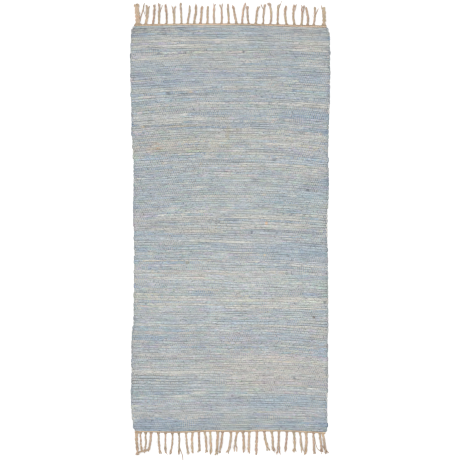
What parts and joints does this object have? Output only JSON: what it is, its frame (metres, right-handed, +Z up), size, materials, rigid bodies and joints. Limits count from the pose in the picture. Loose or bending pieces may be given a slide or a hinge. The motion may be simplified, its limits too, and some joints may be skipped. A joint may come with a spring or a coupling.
{
  "type": "rag rug",
  "caption": "Flat oblong rag rug woven from cotton strips, with a twined heading and a fringe of twisted warp tassels along each end.",
  "frame": {"origin": "middle of the rug's underside, on the floor", "axes": "+X across the rug, +Y along its length towards the far fringe, +Z up, out of the face"},
  "size_m": [0.7136, 1.618, 0.005],
  "materials": {
    "rag_weave": "matt woven cotton rag, pale blue and grey with cream streaks",
    "heading_cord": "matt twined tan cotton cord",
    "fringe_yarn": "matt twisted tan cotton yarn"
  },
  "bodies": {
    "root": {"rag_cloth": "rag_weave", "heading_far": "heading_cord", "heading_near": "heading_cord", "fringe_far": "fringe_yarn", "fringe_near": "fringe_yarn"}
  },
  "joints": []
}
